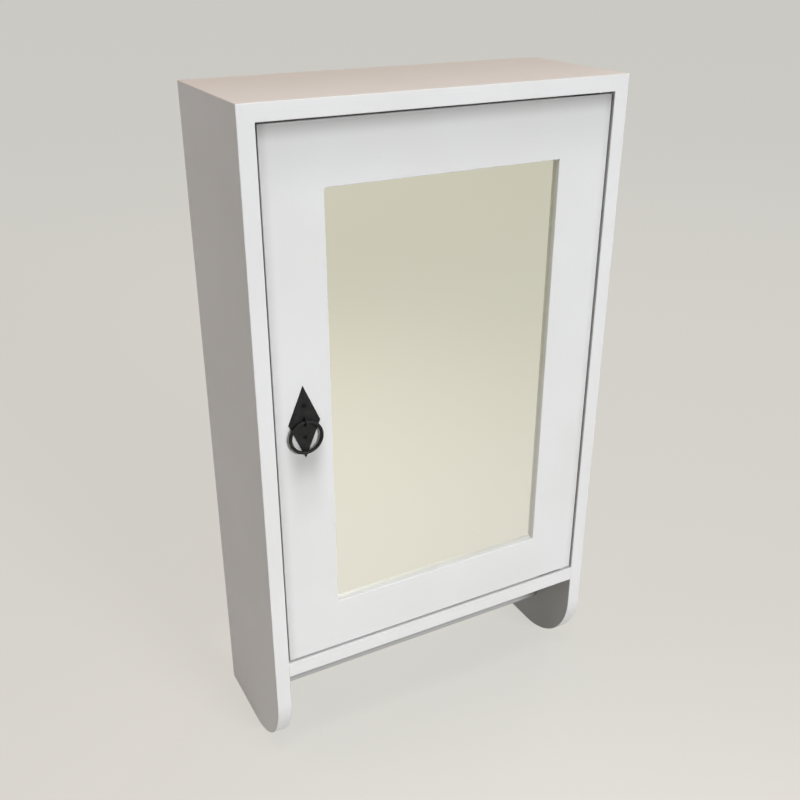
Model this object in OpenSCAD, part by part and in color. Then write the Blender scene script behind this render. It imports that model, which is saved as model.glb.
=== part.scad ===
// Bathroom mirror cabinet: a painted box that hangs on a wall, with one framed
// mirror door on pivot hinges, an iron ring pull, two shelves, and a towel rail
// between the wings that its sides make below the box.
// Millimetres. x runs to the viewer's right, y into the wall, z up. The origin
// is on the wall, midway between the two wall screws.

/* [Cabinet] */
// Width over the two sides
cab_w = 450; // [430:5:480]
// Depth from the wall to the front edges
cab_d = 178; // [170:1:200]
// Height over all, from the top to the foot of the wings
cab_h = 793; // [780:1:820]
// Height of the box, from the top to the underside of the bottom board
box_h = 664; // [650:1:670]
// Thickness of the sides and the top
board_t = 18; // [17:1:20]
// Thickness of the bottom board
bottom_t = 20; // [18:1:22]
// Radius of the quarter round at the front of each wing
wing_r = 90; // [60:1:95]
// Width of the bevel on the edges that hands touch
arris = 0.8; // [0.4:0.1:1.2]

/* [Back] */
// Thickness of the back panel
back_t = 6; // [4:1:8]
// Depth of the rebates that hold the back panel, across the board's edge
back_lap = 9; // [8:1:10]
// Thickness of the hanging rail
hang_t = 15; // [14:1:18]
// Height of the hanging rail
hang_h = 60; // [50:2:80]
// Distance between the two wall screws
wall_pitch = 300; // [260:10:340]
// Diameter of the holes for the wall screws
wall_hole_d = 5.5; // [4.5:0.5:6.5]

/* [Towel rail] */
// Diameter of the rail
rail_d = 20; // [16:1:22]
// Drop from the underside of the box to the middle of the rail
rail_drop = 70; // [60:1:75]
// Distance from the front edges back to the middle of the rail
rail_back = 82; // [75:1:95]
// Depth of the blind socket in each wing
rail_socket = 9; // [7:1:11]

/* [Door] */
// Thickness of the door frame
door_t = 20; // [20:1:22]
// Gap between the door and the box, all round
door_gap = 2; // [2:0.25:2.5]
// Distance of the door's face behind the front edges of the box
door_recess = 2.2; // [2:0.1:3]
// Width of the stiles and rails
frame_w = 65; // [60:1:70]
// Thickness of wood in front of the mirror
lip_t = 6; // [5:0.5:7]
// Width of the rebate that the mirror lies in
rebate_w = 9; // [8:1:10]
// Thickness of the mirror
glass_t = 4; // [3:1:4]
// Thickness of the board behind the mirror
backing_t = 3; // [2:1:3]
// Length of the tenons on the rails
tenon_l = 35; // [25:1:40]

/* [Hinges] */
// Distance of the pivot in from the door's edge
pivot_in = 12; // [12:0.5:14]
// Distance of the pivot behind the door's face
pivot_back = 6.5; // [6:0.1:6.5]
// Diameter of the pivot pins
pivot_d = 4; // [3:0.5:4.5]
// Length of a hinge leaf, from the pivot to its square end
leaf_l = 40; // [38:1:44]
// Width of a hinge leaf
leaf_w = 9; // [8:0.5:9]
// Thickness of a hinge leaf
leaf_t = 2; // [1.5:0.5:2.5]

/* [Ring pull] */
// Width of the diamond plate
plate_w = 36; // [32:1:40]
// Height of the diamond plate
plate_h = 84.5; // [78:0.5:90]
// Thickness of the plate
plate_t = 2; // [1.5:0.5:2.5]
// Diameter of the ring, along the middle of its wire
ring_d = 36.1; // [32:0.1:38]
// Diameter of the ring's wire
ring_wire = 4; // [3.5:0.5:4]
// Distance of the ring's middle plane in front of the plate
ring_stand = 2.4; // [2.4:0.1:4]
// Diameter of the staple's wire
staple_wire = 2.6; // [2.2:0.2:2.8]
// Distance of each plate screw from the middle of the staple
plate_screw_z = 18.8; // [17:0.2:20]
// Height of the staple and the screws above the middle of the plate
pull_rise = 1.6; // [0:0.2:3]

/* [Inside] */
// Thickness of a shelf
shelf_t = 15; // [12:1:16]
// Depth of a shelf
shelf_d = 128; // [100:1:132]
// Diameter of the shelf pins
shelf_pin_d = 5; // [4:1:6]
// Step between the holes for the shelf pins
pin_step = 32; // [25:1:32]

/* [Hidden] */
$fn = 72;

// Colours of the finishes
paint = [0.90, 0.90, 0.90];
bare_wood = [0.80, 0.66, 0.46];
hardboard = [0.45, 0.32, 0.22];
silvered = [0.84, 0.84, 0.76];
iron = [0.14, 0.14, 0.14];
steel = [0.68, 0.69, 0.70];
plastic = [0.88, 0.88, 0.86];
rubber = [0.75, 0.75, 0.73];

// Free play between a peg, screw or shaft and its hole, on the radius
play = 0.05;
// Amount by which a cut runs past the face it opens
over = 1;

// Planes of the box
half_w = cab_w / 2;
in_x = half_w - board_t;
y_front = -cab_d;
z_top = board_t + hang_h / 2;
z_open = z_top - board_t;
z_box = z_top - box_h;
z_floor = z_box + bottom_t;
z_low = z_top - cab_h;
y_back = -back_t;

// Planes of the door
y_door = y_front + door_recess;
y_door_back = y_door + door_t;
door_x = in_x - door_gap;
door_top = z_open - door_gap;
door_bottom = z_floor + door_gap;
door_mid = (door_top + door_bottom) / 2;
sight_x = door_x - frame_w;
sight_top = door_top - frame_w;
sight_bottom = door_bottom + frame_w;

// Rebate behind the lip, and what lies in it
pocket_x = sight_x + rebate_w;
pocket_top = sight_top + rebate_w;
pocket_bottom = sight_bottom - rebate_w;
y_glass = y_door + lip_t;
y_backing = y_glass + glass_t;
y_bead = y_backing + backing_t;
bead_t = y_door_back - y_bead;
bead_r = 5;
glass_gap = 1;
bead_pin_r = 0.7;
bead_pin_l = 16.8;
bead_pin_sunk = 0.2;
bead_pin_back = 2.6;

// Tenons of the rails
tenon_t = 7;
tenon_h = 34;
tenon_in = 15;

// Dowels of the box
dowel_d = 8;
dowel_l = 24;
dowel_slack = 1;
dowel_y = [-150, -90, -32];
hang_dowel_z = [-16, 16];

// Screws of the back panel
back_screw_d = 3;
back_screw_l = 20;
back_screw_head = 5.6;
back_screw_in = 40;

// Hinges
pivot_x = door_x - pivot_in;
pivot_y = y_door + pivot_back;
pivot_reach = 6;
pivot_room = 0.5;
leaf_screw_at = [15, 32];
leaf_screw_d = 3;
leaf_screw_l = 12;
leaf_screw_head = 5.6;

// Ring pull
handle_x = -(door_x + sight_x) / 2;
y_plate = y_door - plate_t;
y_ring = y_plate - ring_stand;
z_pull = door_mid + pull_rise;
ring_room = 0.3;
staple_r = ring_wire / 2 + ring_room + staple_wire / 2;
staple_lift = 0.05;
clench_l = 9;
plate_shank_r = 1.4;
plate_screw_l = 14;

// Shelves: they part the box into three equal spaces
shelf_gap = (z_open - z_floor - 2 * shelf_t) / 3;
shelf_play = 1;
shelf_z = [z_floor + shelf_gap, z_floor + 2 * shelf_gap + shelf_t];
shelf_pin_l = 18;
shelf_pin_y = [-115, -30];

// Stop strip under the top, which ends before the hinge
strip_s = 12;
bumper_t = 2;
bumper_d = 8;
bumper_in = 25;
bumper_drop = 1;
bumper_gap = 0.1;
y_strip = y_door_back + bumper_t + bumper_gap;
strip_end = pivot_x - 24;

// Catch on the left side, and its strike plate on the door
catch_x = -in_x;
catch_w = 15;
catch_mid = catch_x + catch_w / 2;
catch_body_h = 28;
catch_h = 46;
catch_d = 18;
catch_ear_t = 3;
catch_ear_in = 3;
catch_screw_d = 3;
catch_screw_l = 14;
catch_screw_head = 6;
strike_t = 1.2;
strike_w = 14;
strike_h = 36;
strike_trim = 1;
strike_screw_d = 3;
strike_screw_l = 10;
strike_screw_head = 5.4;
magnet_gap = 0.2;
pole_proud = 0.5;
y_magnet = y_door_back + strike_t + magnet_gap;
y_catch = y_magnet + pole_proud;
magnet_w = 8;
magnet_h = 22;
magnet_d = 12;
magnet_in = 1;
magnet_slack = 0.1;
pole_t = 1.5;

// Small shapes

// Box between its low and its high corner
module block(low, high) {
    translate(low) cube(high - low);
}

// Outline in x and z, made a plate of thickness t behind the plane y = y_face
module upright(y_face, t) {
    translate([0, y_face + t, 0]) rotate([90, 0, 0]) linear_extrude(t) children();
}

// Square bar along x, y or z that bevels the edge it is centred on
module edge_bar(from, to) {
    run = to - from;
    turn = run.x != 0 ? [0, 90, 0] : run.y != 0 ? [-90, 0, 0] : [0, 0, 0];
    translate(from) rotate(turn) cylinder(r = arris, h = norm(run), $fn = 4);
}

// Countersunk wood screw that points along z, its head's face at z = 0
module wood_screw(d, len, head_d, grow = 0) {
    head_t = (head_d - d) / 2;
    tip_l = 3;
    tip_r = 0.3;
    translate([0, 0, -grow]) cylinder(r1 = head_d / 2 + grow, r2 = d / 2 + grow, h = head_t + grow);
    cylinder(r = d / 2 + grow, h = len - tip_l + grow);
    translate([0, 0, len - tip_l + grow]) cylinder(r1 = d / 2 + grow, r2 = tip_r, h = tip_l);
}

// The same screw with a cross recess in its head
module cross_screw(d, len, head_d) {
    slot_w = 0.7;
    slot_l = 0.55 * head_d;
    difference() {
        wood_screw(d, len, head_d);
        for (turn = [0, 90])
            rotate(turn) cube([slot_l, slot_w, 2 * slot_w], center = true);
    }
}

// The box

// Side board seen from the side: straight, with a quarter round at the front below
module side_outline() {
    translate([y_front, z_low + wing_r]) square([cab_d, z_open - z_low - wing_r]);
    translate([y_front + wing_r, z_low]) square([cab_d - wing_r, wing_r]);
    translate([y_front + wing_r, z_low + wing_r]) intersection() {
        circle(wing_r, $fn = 180);
        translate([-wing_r, -wing_r]) square(wing_r);
    }
}

// Bevels on one face of a side board, at the given x, along the given front spans
module side_bevels(x, spans) {
    for (span = spans)
        edge_bar([x, y_front, span[0]], [x, y_front, span[1]]);
    edge_bar([x, y_front + wing_r, z_low], [x, over, z_low]);
    translate([x, y_front + wing_r, z_low + wing_r]) rotate([90, 0, 90]) rotate(180)
        rotate_extrude(angle = 90, $fn = 180) translate([wing_r, 0]) circle(r = arris, $fn = 4);
}

// Side board; side is -1 on the left and 1 on the right
module side_board(side) {
    wing_top = z_low + wing_r;
    difference() {
        translate([side > 0 ? in_x : -half_w, 0, 0])
            rotate([90, 0, 90]) linear_extrude(board_t) side_outline();
        side_bevels(side * half_w, [[wing_top, z_open + over]]);
        side_bevels(side * in_x, [[wing_top, z_box], [z_floor, z_open + over]]);
        back_space();
        dowel_holes();
        back_screws(play);
        rail_shape(play);
        for (z = shelf_z)
            for (step = [-pin_step, 0, pin_step])
                translate([0, 0, step]) pins_under(z, play);
    }
}

module left_side() {
    color(paint) difference() {
        side_board(-1);
        at_catch_screws() wood_screw(catch_screw_d, catch_screw_l, catch_screw_head, play);
    }
}

module right_side() {
    color(paint) side_board(1);
}

module top_panel() {
    color(paint) difference() {
        block([-half_w, y_front, z_open], [half_w, 0, z_top]);
        edge_bar([-half_w - over, y_front, z_top], [half_w + over, y_front, z_top]);
        edge_bar([-in_x, y_front, z_open], [in_x, y_front, z_open]);
        for (x = [-half_w, half_w]) {
            edge_bar([x, y_front - over, z_top], [x, over, z_top]);
            edge_bar([x, y_front, z_open - over], [x, y_front, z_top + over]);
        }
        back_space();
        dowel_holes();
        back_screws(play);
        leaf(z_open, 1, play);
        leaf_screws_at(z_open, 1) wood_screw(leaf_screw_d, leaf_screw_l, leaf_screw_head, play);
        pivot_pin(z_open, -1, play);
    }
}

module bottom_panel() {
    color(paint) difference() {
        block([-in_x, y_front, z_box], [in_x, 0, z_floor]);
        for (z = [z_box, z_floor])
            edge_bar([-in_x - over, y_front, z], [in_x + over, y_front, z]);
        back_space();
        dowel_holes();
        back_screws(play);
        leaf(z_floor, -1, play);
        leaf_screws_at(z_floor, -1) wood_screw(leaf_screw_d, leaf_screw_l, leaf_screw_head, play);
        pivot_pin(z_floor, 1, play);
    }
}

// Space that the back panel fills, in rebates round the back of the box
module back_space() {
    block([-in_x - back_lap, y_back, z_floor - back_lap],
          [in_x + back_lap, over, z_open + back_lap]);
}

// Holes for the two wall screws, through the hanging rail and the back panel
module wall_holes() {
    for (x = [-wall_pitch / 2, wall_pitch / 2])
        translate([x, over, 0]) rotate([90, 0, 0])
            cylinder(d = wall_hole_d, h = hang_t + back_t + 2 * over);
}

module back_panel() {
    color(paint) difference() {
        block([-in_x - back_lap, y_back, z_floor - back_lap],
              [in_x + back_lap, 0, z_open + back_lap]);
        wall_holes();
        back_screws(play);
    }
}

// Countersunk screws round the edge of the back panel, driven from behind
module back_screws(grow = 0) {
    screw_x = in_x + back_lap / 2;
    lowest = z_floor + back_screw_in;
    pitch = (z_open - back_screw_in - lowest) / 3;
    for (side = [-1, 1])
        for (step = [0:3])
            translate([side * screw_x, 0, lowest + step * pitch]) back_screw(grow);
    for (z = [z_floor - back_lap / 2, z_open + back_lap / 2])
        translate([0, 0, z]) back_screw(grow);
}

// One of them: its hole needs no cross recess
module back_screw(grow) {
    rotate([90, 0, 0]) {
        if (grow > 0) wood_screw(back_screw_d, back_screw_l, back_screw_head, grow);
        else cross_screw(back_screw_d, back_screw_l, back_screw_head);
    }
}

module back_panel_screws() {
    color(steel) back_screws();
}

module hanging_rail() {
    color(paint) difference() {
        block([-in_x, y_back - hang_t, z_open - hang_h], [in_x, y_back, z_open]);
        edge_bar([-in_x - over, y_back - hang_t, z_open - hang_h],
                 [in_x + over, y_back - hang_t, z_open - hang_h]);
        wall_holes();
        dowel_holes();
    }
}

// Middle of each dowel, with z along it
module at_dowels() {
    for (side = [-1, 1]) {
        for (y = dowel_y) {
            translate([side * (half_w - board_t / 2), y, z_open]) children();
            translate([side * in_x, y, z_box + bottom_t / 2]) rotate([0, 90, 0]) children();
        }
        for (z = hang_dowel_z)
            translate([side * in_x, y_back - hang_t / 2, z]) rotate([0, 90, 0]) children();
    }
}

module dowel_holes() {
    at_dowels() cylinder(d = dowel_d, h = dowel_l + dowel_slack, center = true);
}

module carcass_dowels() {
    color(bare_wood) at_dowels() cylinder(r = dowel_d / 2 - play, h = dowel_l, center = true);
}

// Round rail with an end in each wing
module rail_shape(grow = 0) {
    end_play = 4 * grow;
    len = 2 * (in_x + rail_socket + end_play);
    translate([-len / 2, y_front + rail_back, z_box - rail_drop]) rotate([0, 90, 0])
        cylinder(r = rail_d / 2 + grow, h = len);
}

module towel_rail() {
    color(paint) rail_shape();
}

// Shelves

module shelf(z) {
    y_back_edge = y_back - shelf_play;
    y_front_edge = y_back_edge - shelf_d;
    color(paint) difference() {
        block([-in_x + shelf_play, y_front_edge, z], [in_x - shelf_play, y_back_edge, z + shelf_t]);
        for (edge = [z, z + shelf_t])
            edge_bar([-in_x, y_front_edge, edge], [in_x, y_front_edge, edge]);
    }
}

module lower_shelf() {
    shelf(shelf_z[0]);
}

module upper_shelf() {
    shelf(shelf_z[1]);
}

// The four pins that a shelf with its underside at z rests on
module pins_under(z, grow = 0) {
    end_play = 4 * grow;
    len = shelf_pin_l + 2 * end_play;
    for (side = [-1, 1])
        for (y = shelf_pin_y)
            translate([side * in_x, y, z - shelf_pin_d / 2]) rotate([0, 90, 0])
                cylinder(r = shelf_pin_d / 2 + grow, h = len, center = true);
}

module shelf_pins() {
    color(steel) for (z = shelf_z) pins_under(z);
}

// Stop and catch

module stop_strip() {
    color(paint) difference() {
        block([-in_x, y_strip, z_open - strip_s], [strip_end, y_strip + strip_s, z_open]);
        edge_bar([-in_x - over, y_strip, z_open - strip_s],
                 [strip_end + over, y_strip, z_open - strip_s]);
    }
}

module stop_bumpers() {
    color(rubber)
        for (x = [-in_x + bumper_in, 0])
            translate([x, y_strip, z_open - strip_s / 2 - bumper_drop]) rotate([90, 0, 0])
                cylinder(d = bumper_d, h = bumper_t);
}

// Place of each catch screw, with z along it into the left side
module at_catch_screws() {
    ear_mid = (catch_h + catch_body_h) / 4;
    for (side = [-1, 1])
        translate([catch_x + catch_ear_t, y_catch + catch_d / 2, door_mid + side * ear_mid])
            rotate([0, -90, 0]) children();
}

// Room for the magnet between its two pole plates
module magnet_space(slack = 0) {
    w = magnet_w + 2 * pole_t + 2 * slack;
    translate([catch_mid - w / 2, y_magnet - over, door_mid - magnet_h / 2 - slack])
        cube([w, magnet_d + over + slack, magnet_h + 2 * slack]);
}

module catch_housing() {
    color(plastic) difference() {
        union() {
            block([catch_x, y_catch, door_mid - catch_body_h / 2],
                  [catch_x + catch_w, y_catch + catch_d, door_mid + catch_body_h / 2]);
            block([catch_x, y_catch + catch_ear_in, door_mid - catch_h / 2],
                  [catch_x + catch_ear_t, y_catch + catch_d - catch_ear_in, door_mid + catch_h / 2]);
        }
        magnet_space(magnet_slack);
        at_catch_screws() wood_screw(catch_screw_d, catch_screw_l, catch_screw_head, play);
    }
}

module catch_magnet() {
    color(iron) translate([catch_mid - magnet_w / 2, y_magnet + magnet_in, door_mid - magnet_h / 2])
        cube([magnet_w, magnet_d - magnet_in, magnet_h]);
}

// Steel plates on both sides of the magnet, which touch the strike plate
module catch_poles() {
    color(steel)
        for (x = [-magnet_w / 2 - pole_t, magnet_w / 2])
            translate([catch_mid + x, y_magnet, door_mid - magnet_h / 2])
                cube([pole_t, magnet_d, magnet_h]);
}

module catch_screws() {
    color(steel) at_catch_screws() cross_screw(catch_screw_d, catch_screw_l, catch_screw_head);
}

// Pivot hinges

// Leaf seen from above: a bar with a round end about the pivot
module leaf_outline() {
    circle(d = leaf_w);
    translate([-leaf_l, -leaf_w / 2]) square([leaf_l, leaf_w]);
}

// Leaf let in flush with a wooden face at height z; into is 1 for up into the wood, -1 for down.
// Its recess is the same outline stretched about the pivot.
module leaf(z, into, grow = 0) {
    translate([pivot_x, pivot_y, into > 0 ? z - grow : z - leaf_t - grow])
        linear_extrude(leaf_t + 2 * grow) scale(1 + 2 * grow / leaf_w) leaf_outline();
}

// Places of a leaf's two screws, with z along them into the wood
module leaf_screws_at(z, into) {
    for (x = leaf_screw_at)
        translate([pivot_x - x, pivot_y, z]) rotate([into > 0 ? 0 : 180, 0, 0]) children();
}

// Pin fixed in the frame leaf at height z; towards is the way it points, across the gap to the door
module pivot_pin(z, towards, grow = 0) {
    reach = door_gap + leaf_t + pivot_reach;
    translate([pivot_x, pivot_y, towards > 0 ? z - leaf_t - grow : z - reach - grow])
        cylinder(r = pivot_d / 2 + grow, h = reach + leaf_t + 2 * grow);
}

// Finished leaf with its pin hole and screw seats
module drilled_leaf(z, into, hole_play) {
    color(steel) difference() {
        leaf(z, into);
        translate([pivot_x, pivot_y, z])
            cylinder(r = pivot_d / 2 + hole_play, h = 4 * leaf_t, center = true);
        leaf_screws_at(z, into) wood_screw(leaf_screw_d, leaf_screw_l, leaf_screw_head, play);
    }
}

module upper_frame_leaf() {
    drilled_leaf(z_open, 1, play / 2);
}

module lower_frame_leaf() {
    drilled_leaf(z_floor, -1, play / 2);
}

module upper_door_leaf() {
    drilled_leaf(door_top, -1, play);
}

module lower_door_leaf() {
    drilled_leaf(door_bottom, 1, play);
}

module upper_pivot_pin() {
    color(steel) pivot_pin(z_open, -1);
}

module lower_pivot_pin() {
    color(steel) pivot_pin(z_floor, 1);
}

// Washer in the lower gap, which carries the door
module thrust_washer() {
    color(plastic) translate([pivot_x, pivot_y, z_floor]) difference() {
        cylinder(d = leaf_w, h = door_gap - play);
        translate([0, 0, -over]) cylinder(r = pivot_d / 2 + play, h = door_gap + 2 * over);
    }
}

module frame_leaf_screws() {
    color(steel) {
        leaf_screws_at(z_open, 1) cross_screw(leaf_screw_d, leaf_screw_l, leaf_screw_head);
        leaf_screws_at(z_floor, -1) cross_screw(leaf_screw_d, leaf_screw_l, leaf_screw_head);
    }
}

module door_leaf_screws() {
    color(steel) {
        leaf_screws_at(door_top, -1) cross_screw(leaf_screw_d, leaf_screw_l, leaf_screw_head);
        leaf_screws_at(door_bottom, 1) cross_screw(leaf_screw_d, leaf_screw_l, leaf_screw_head);
    }
}

// The door

// Bevels round the face of the door and round the mirror opening
module door_bevels() {
    for (z = [door_bottom, door_top])
        edge_bar([-door_x - over, y_door, z], [door_x + over, y_door, z]);
    for (x = [-door_x, door_x])
        edge_bar([x, y_door, door_bottom - over], [x, y_door, door_top + over]);
    for (z = [sight_bottom, sight_top])
        edge_bar([-sight_x, y_door, z], [sight_x, y_door, z]);
    for (x = [-sight_x, sight_x])
        edge_bar([x, y_door, sight_bottom], [x, y_door, sight_top]);
}

// Rebate from the back of the door to the lip
module pocket() {
    block([-pocket_x, y_glass, pocket_bottom], [pocket_x, y_door_back + over, pocket_top]);
}

// Tenon of a rail on one side; grow makes its mortise
module tenon(side, rail, grow = 0) {
    mid_y = y_door + door_t / 2;
    near = rail > 0 ? door_top - tenon_in - tenon_h : door_bottom + tenon_in;
    x = side > 0 ? sight_x : -sight_x - tenon_l - 2 * grow;
    translate([x, mid_y - tenon_t / 2 - grow, near - grow])
        cube([tenon_l + 2 * grow, tenon_t + 2 * grow, tenon_h + 2 * grow]);
}

// Stile blank with its mortises, rebate, bevels and pin holes
module stile(side) {
    difference() {
        block([side > 0 ? sight_x : -door_x, y_door, door_bottom],
              [side > 0 ? door_x : -sight_x, y_door_back, door_top]);
        pocket();
        door_bevels();
        tenon(side, 1, play);
        tenon(side, -1, play);
        at_bead_pins() bead_pin(play);
    }
}

module handle_stile() {
    color(paint) difference() {
        stile(-1);
        staple_legs(2 * play);
        pull_screws_at() plain_screw(play);
        strike_screw_at() wood_screw(strike_screw_d, strike_screw_l, strike_screw_head, play);
    }
}

module hinge_stile() {
    color(paint) difference() {
        stile(1);
        leaf(door_top, -1, play);
        leaf(door_bottom, 1, play);
        leaf_screws_at(door_top, -1) wood_screw(leaf_screw_d, leaf_screw_l, leaf_screw_head, play);
        leaf_screws_at(door_bottom, 1) wood_screw(leaf_screw_d, leaf_screw_l, leaf_screw_head, play);
        pivot_pin(z_open, -1, pivot_room);
        pivot_pin(z_floor, 1, pivot_room);
    }
}

// Rail blank between the stiles; rail is 1 for the top one and -1 for the bottom one
module frame_rail(rail) {
    color(paint) {
        difference() {
            block([-sight_x, y_door, rail > 0 ? sight_top : door_bottom],
                  [sight_x, y_door_back, rail > 0 ? door_top : sight_bottom]);
            pocket();
            door_bevels();
            at_bead_pins() bead_pin(play);
        }
        tenon(-1, rail);
        tenon(1, rail);
    }
}

module top_rail() {
    frame_rail(1);
}

module bottom_rail() {
    frame_rail(-1);
}

// Sheet in the rebate, from the plane y
module rebate_sheet(y, t) {
    block([-pocket_x + glass_gap, y, pocket_bottom + glass_gap],
          [pocket_x - glass_gap, y + t, pocket_top - glass_gap]);
}

module mirror_glass() {
    color(silvered) rebate_sheet(y_glass, glass_t);
}

module mirror_backing() {
    color(hardboard) rebate_sheet(y_backing, backing_t);
}

// Section of a retaining bead: against the rebate at the left, its free corner rounded
module bead_section() {
    square([rebate_w - bead_r, bead_t]);
    square([rebate_w, bead_t - bead_r]);
    intersection() {
        translate([rebate_w - bead_r, bead_t - bead_r]) circle(bead_r);
        square([rebate_w, bead_t]);
    }
}

module left_bead() {
    color(paint) difference() {
        translate([-pocket_x, y_bead, pocket_bottom])
            linear_extrude(pocket_top - pocket_bottom) bead_section();
        at_bead_pins() bead_pin(play);
    }
}

module right_bead() {
    mirror([1, 0, 0]) left_bead();
}

module bottom_bead() {
    color(paint) difference() {
        translate([sight_x, y_bead, pocket_bottom]) rotate([0, -90, 0])
            linear_extrude(2 * sight_x) bead_section();
        at_bead_pins() bead_pin(play);
    }
}

module top_bead() {
    translate([0, 0, 2 * door_mid]) mirror([0, 0, 1]) bottom_bead();
}

// Start of each bead pin, with z pointing out into the frame
module at_bead_pins() {
    y = y_bead + bead_pin_back;
    for (step = [-1.5:1:1.5])
        for (side = [-1, 1])
            translate([side * sight_x, y, door_mid + step * (sight_top - sight_bottom) / 4])
                rotate([0, side * 90, 0]) children();
    for (x = [-sight_x / 2, sight_x / 2]) {
        translate([x, y, sight_top]) children();
        translate([x, y, sight_bottom]) rotate([180, 0, 0]) children();
    }
}

// Headless pin through a bead into the frame
module bead_pin(grow = 0) {
    hole_l = over + bead_pin_sunk + bead_pin_l + 2 * play;
    translate([0, 0, grow > 0 ? -over : bead_pin_sunk])
        cylinder(r = bead_pin_r + grow, h = grow > 0 ? hole_l : bead_pin_l, $fn = 24);
}

module bead_pins() {
    color(steel) at_bead_pins() bead_pin();
}

// Strike plate on the back of the handle stile

module strike_screw_at() {
    translate([catch_mid, y_door_back + strike_t, door_mid]) rotate([90, 0, 0]) children();
}

module strike_plate() {
    color(steel) difference() {
        translate([catch_mid - strike_w / 2 + strike_trim, y_door_back, door_mid - strike_h / 2])
            cube([strike_w - strike_trim, strike_t, strike_h]);
        strike_screw_at() wood_screw(strike_screw_d, strike_screw_l, strike_screw_head, play);
    }
}

module strike_screw() {
    color(steel) strike_screw_at() cross_screw(strike_screw_d, strike_screw_l, strike_screw_head);
}

// Ring pull

// Middle of the staple's bow, through which the ring hangs and turns
module at_pull() {
    translate([handle_x, y_ring, z_pull]) children();
}

module pull_screws_at() {
    for (side = [-1, 1])
        translate([handle_x, y_plate, z_pull + side * plate_screw_z]) rotate([-90, 0, 0]) children();
}

// Shank of a plate screw
module plain_screw(grow = 0) {
    end_play = 4 * grow;
    cylinder(r = plate_shank_r + grow, h = plate_screw_l + end_play);
}

module pull_plate() {
    color(iron) difference() {
        upright(y_plate, plate_t) translate([handle_x, door_mid])
            polygon([[0, plate_h / 2], [-plate_w / 2, 0], [0, -plate_h / 2], [plate_w / 2, 0]]);
        staple_legs(2 * play);
        pull_screws_at() translate([0, 0, -over]) plain_screw(play);
    }
}

// Round-headed screws with a slot
module pull_screws() {
    head_r = 2.5;
    head_t = 0.8;
    slot_w = 0.9;
    slot_d = 0.6;
    dome_r = (head_r * head_r + head_t * head_t) / (2 * head_t);
    color(iron) pull_screws_at() {
        plain_screw();
        difference() {
            intersection() {
                translate([0, 0, dome_r - head_t]) sphere(dome_r);
                translate([0, 0, -head_t]) cylinder(r = head_r, h = head_t);
            }
            translate([0, 0, -head_t]) cube([2 * head_r, slot_w, 2 * slot_d], center = true);
        }
    }
}

// Straight legs of the staple, through the plate and the stile
module staple_legs(grow = 0) {
    at_pull()
        for (side = [-1, 1])
            translate([0, 0, side * staple_r]) rotate([-90, 0, 0])
                cylinder(r = staple_wire / 2 + grow, h = clench_y() - y_ring);
}

// Plane in which the ends of the legs lie, behind the stile
function clench_y() = y_door_back + staple_wire / 2 + staple_lift;

// Staple: a bow in front, two legs, and their ends bent flat behind the stile
module pull_staple() {
    color(iron) {
        at_pull() rotate([90, 0, 90]) rotate(90) rotate_extrude(angle = 180)
            translate([staple_r, 0]) circle(d = staple_wire, $fn = 32);
        staple_legs();
        for (side = [-1, 1])
            translate([handle_x, clench_y(), z_pull + side * staple_r]) {
                sphere(d = staple_wire);
                rotate([side > 0 ? 0 : 180, 0, 0]) cylinder(d = staple_wire, h = clench_l);
            }
    }
}

// Ring as it hangs, its top through the staple
module pull_ring() {
    color(iron) at_pull() translate([0, 0, -ring_d / 2]) rotate([90, 0, 0])
        rotate_extrude() translate([ring_d / 2, 0]) circle(d = ring_wire, $fn = 40);
}

left_side();
right_side();
top_panel();
bottom_panel();
back_panel();
hanging_rail();
carcass_dowels();
back_panel_screws();
towel_rail();
lower_shelf();
upper_shelf();
shelf_pins();
stop_strip();
stop_bumpers();
catch_housing();
catch_magnet();
catch_poles();
catch_screws();
upper_frame_leaf();
lower_frame_leaf();
upper_pivot_pin();
lower_pivot_pin();
thrust_washer();
frame_leaf_screws();
handle_stile();
hinge_stile();
top_rail();
bottom_rail();
mirror_glass();
mirror_backing();
left_bead();
right_bead();
top_bead();
bottom_bead();
bead_pins();
upper_door_leaf();
lower_door_leaf();
door_leaf_screws();
strike_plate();
strike_screw();
pull_plate();
pull_screws();
pull_staple();
pull_ring();
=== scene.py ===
"""A painted bathroom mirror cabinet: a box with wings, a towel rail and a framed mirror door.

Metres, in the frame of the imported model: x to the viewer's right, y into the wall, z up.
"""

import math

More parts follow.
